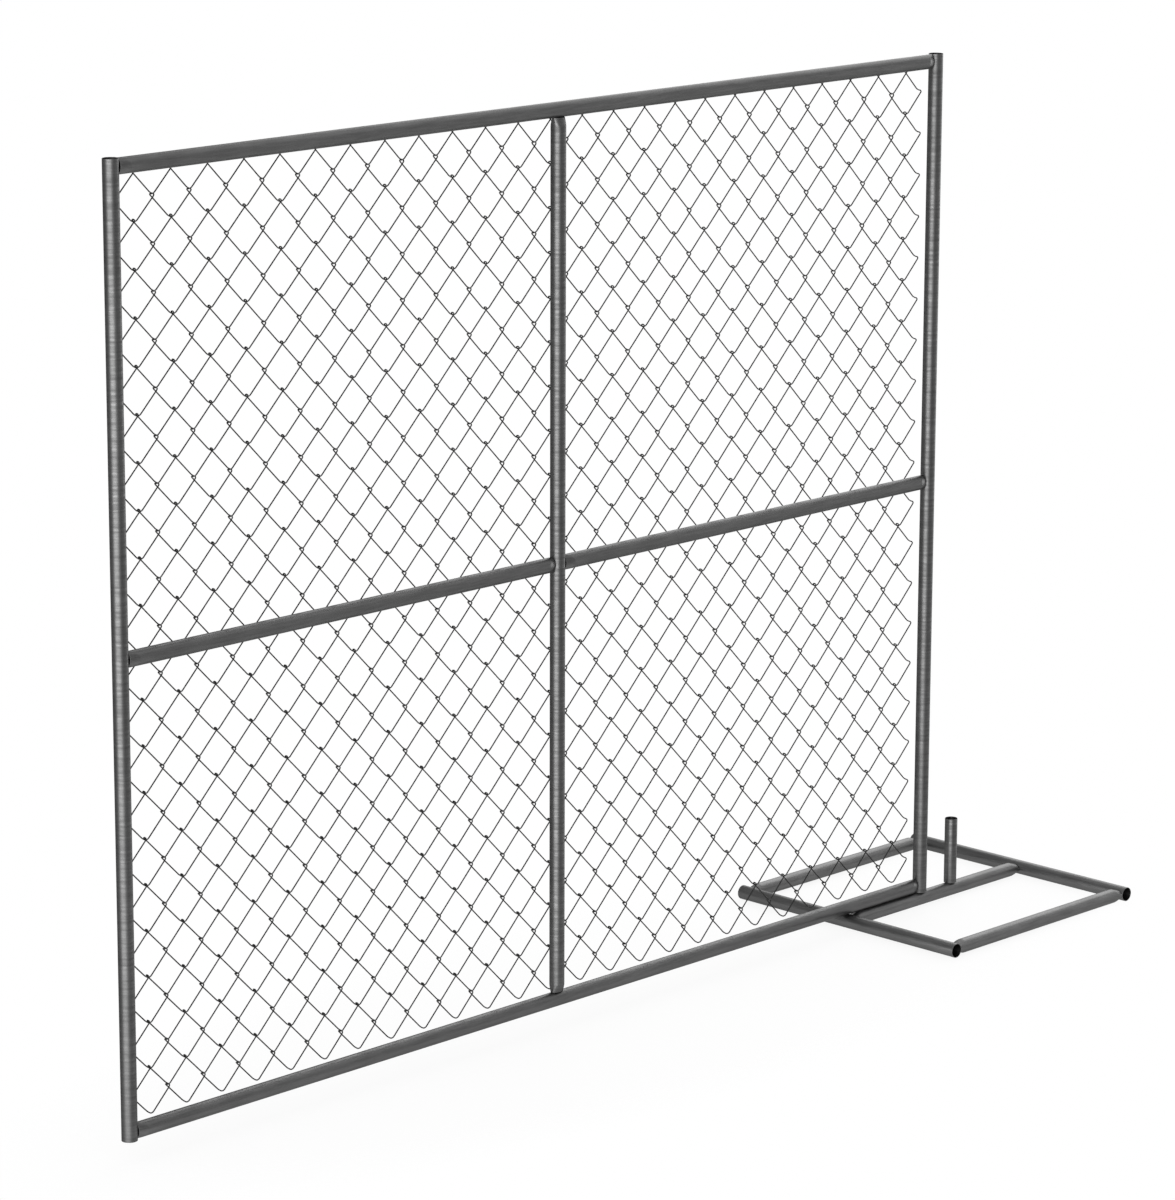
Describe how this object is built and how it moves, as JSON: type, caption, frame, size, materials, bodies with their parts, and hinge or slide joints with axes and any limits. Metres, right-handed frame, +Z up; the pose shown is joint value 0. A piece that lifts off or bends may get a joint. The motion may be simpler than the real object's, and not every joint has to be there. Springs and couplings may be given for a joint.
{
  "type": "construction safety barrier",
  "caption": "Tall tubular fence panel with a middle post, a middle rail and linked diamond wire mesh, standing on a spigot of a low square floor stand.",
  "frame": {"origin": "on the floor, under the middle of the whole barrier", "axes": "+X along the fence towards the stand, +Y to the rear, on the mesh side of the panel, +Z up"},
  "size_m": [3.448, 0.8, 2.4403],
  "materials": {
    "tube_steel": "dark grey drawn steel tube with fine streaks, satin",
    "mesh_wire": "dark grey drawn steel wire, satin"
  },
  "bodies": {
    "stand": {"inner_runner": "tube_steel", "outer_runner": "tube_steel", "rear_bar": "tube_steel", "centre_bar": "tube_steel", "front_bar": "tube_steel", "panel_spigot": "tube_steel", "free_spigot": "tube_steel"},
    "panel": {"left_post": "tube_steel", "right_post": "tube_steel", "centre_post": "tube_steel", "top_rail": "tube_steel", "bottom_rail": "tube_steel", "mid_rail_left": "tube_steel", "mid_rail_right": "tube_steel", "link_row_01": "mesh_wire", "link_row_02": "mesh_wire", "link_row_03": "mesh_wire", "link_row_04": "mesh_wire", "link_row_05": "mesh_wire", "link_row_06": "mesh_wire", "link_row_07": "mesh_wire", "link_row_08": "mesh_wire", "link_row_09": "mesh_wire", "link_row_10": "mesh_wire", "link_row_11": "mesh_wire", "link_row_12": "mesh_wire", "link_row_13": "mesh_wire", "link_row_14": "mesh_wire", "link_row_15": "mesh_wire", "link_row_16": "mesh_wire", "link_row_17": "mesh_wire", "link_row_18": "mesh_wire", "link_row_19": "mesh_wire", "link_row_20": "mesh_wire"}
  },
  "joints": [
    {"name": "panel_swivel", "type": "hinge", "parent": "stand", "child": "panel", "pos_m": [1.256, 0, 0.0403], "axis": [0, 0, 1], "range_deg": [-153, 163]}
  ]
}
